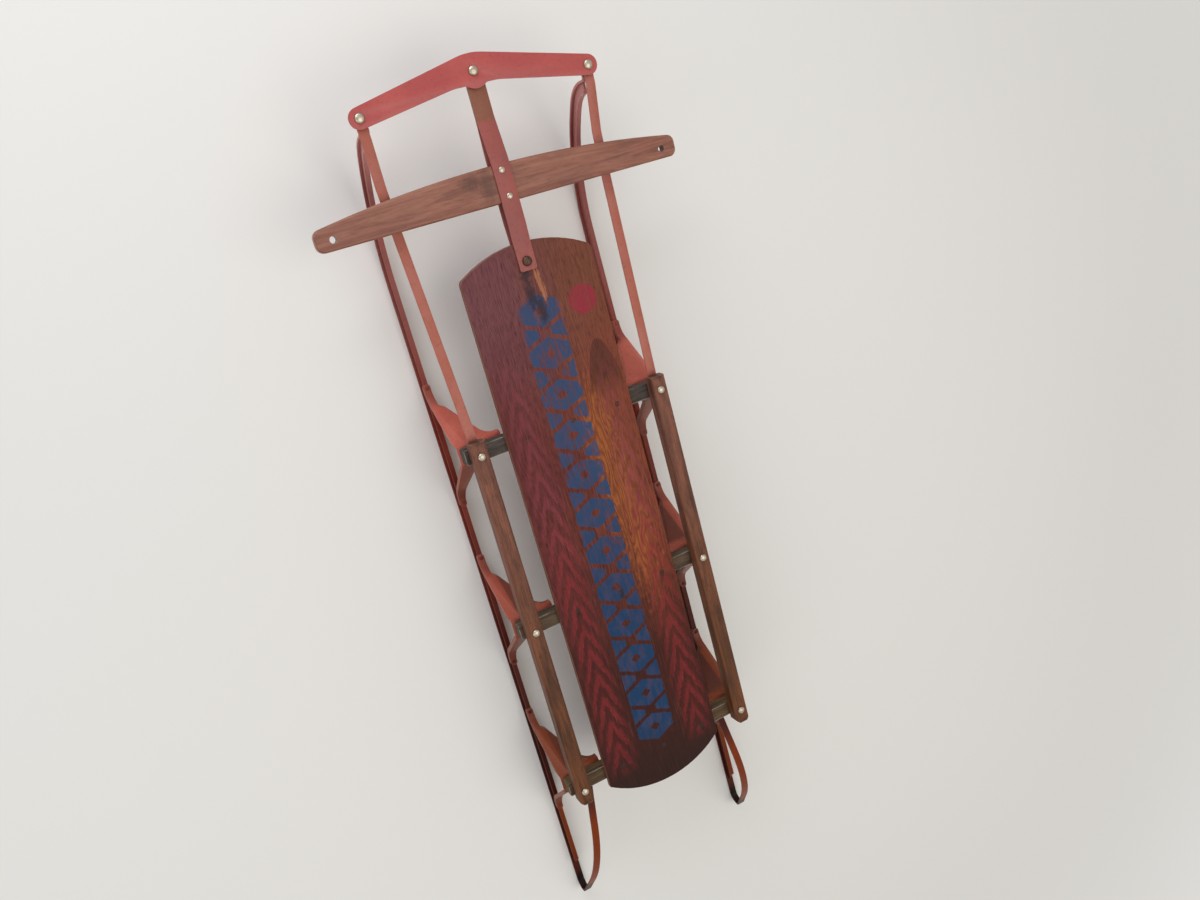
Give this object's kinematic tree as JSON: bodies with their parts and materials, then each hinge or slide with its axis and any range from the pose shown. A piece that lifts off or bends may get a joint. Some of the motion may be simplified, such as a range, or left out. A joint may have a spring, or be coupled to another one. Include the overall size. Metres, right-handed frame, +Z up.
{
  "type": "runner sled",
  "caption": "Low steel-runner sled with a thin wooden deck, side rails, pressed-steel knees, tail loops, and a wooden steering bar that swings the bumper.",
  "frame": {"origin": "on the floor, midway along and across the whole sled", "axes": "+Y towards the bumper at the front, +Z up, +X to the rider's right"},
  "size_m": [0.5, 1.25, 0.1446],
  "materials": {
    "deck_wood": "worn maroon stain and varnish on plywood",
    "rail_wood": "worn varnished hardwood",
    "bench_wood": "bare weathered hardwood",
    "bar_wood": "varnished hardwood with a dark stain",
    "knee_steel": "orange-red enamel, faded and rubbed",
    "runner_steel": "dark red enamel, worn and rusty",
    "strap_steel": "red enamel, worn to brown",
    "bumper_steel": "red enamel, chalky",
    "nickel_steel": "dull plated steel",
    "dark_steel": "dark rusted steel"
  },
  "bodies": {
    "frame": {"deck": "deck_wood", "rail_left": "rail_wood", "rail_right": "rail_wood", "bench_front": "bench_wood", "bench_middle": "bench_wood", "bench_rear": "bench_wood", "knee_front_left": "knee_steel", "knee_front_right": "knee_steel", "knee_middle_left": "knee_steel", "knee_middle_right": "knee_steel", "knee_rear_left": "knee_steel", "knee_rear_right": "knee_steel", "runner_left": "runner_steel", "runner_right": "runner_steel", "rail_bolt_front_left": "nickel_steel", "rail_bolt_front_right": "nickel_steel", "rail_bolt_middle_left": "nickel_steel", "rail_bolt_middle_right": "nickel_steel", "rail_bolt_rear_left": "nickel_steel", "rail_bolt_rear_right": "nickel_steel", "king_bolt": "dark_steel"},
    "steering": {"steering_bar": "bar_wood", "upper_strap": "strap_steel", "lower_strap": "strap_steel"},
    "bumper": {"bumper": "bumper_steel", "rivet_centre": "nickel_steel", "rivet_left": "nickel_steel", "rivet_right": "nickel_steel"},
    "strut_left": {"strut_left": "bumper_steel"},
    "strut_right": {"strut_right": "bumper_steel"}
  },
  "joints": [
    {"name": "steering_swing", "type": "hinge", "parent": "frame", "child": "steering", "pos_m": [0, 0.3655, 0.125], "axis": [0, 0, 1], "range_deg": [-10, 10]},
    {"name": "bumper_pivot", "type": "hinge", "parent": "steering", "child": "bumper", "pos_m": [0, 0.604, 0.1275], "axis": [0, 0, 1], "range_deg": [-10.5, 10.5]},
    {"name": "strut_left_pivot", "type": "hinge", "parent": "frame", "child": "strut_left", "pos_m": [-0.136, 0.1445, 0.1225], "axis": [0, 0, 1], "range_deg": [-5.8, 5.8]},
    {"name": "strut_right_pivot", "type": "hinge", "parent": "frame", "child": "strut_right", "pos_m": [0.136, 0.1445, 0.1225], "axis": [0, 0, 1], "range_deg": [-5.8, 5.8]}
  ],
  "couplings": [
    {"joint": "bumper_pivot", "follows": "steering_swing", "ratio": -1},
    {"joint": "strut_left_pivot", "follows": "steering_swing", "ratio": 0.547},
    {"joint": "strut_right_pivot", "follows": "steering_swing", "ratio": 0.547}
  ]
}
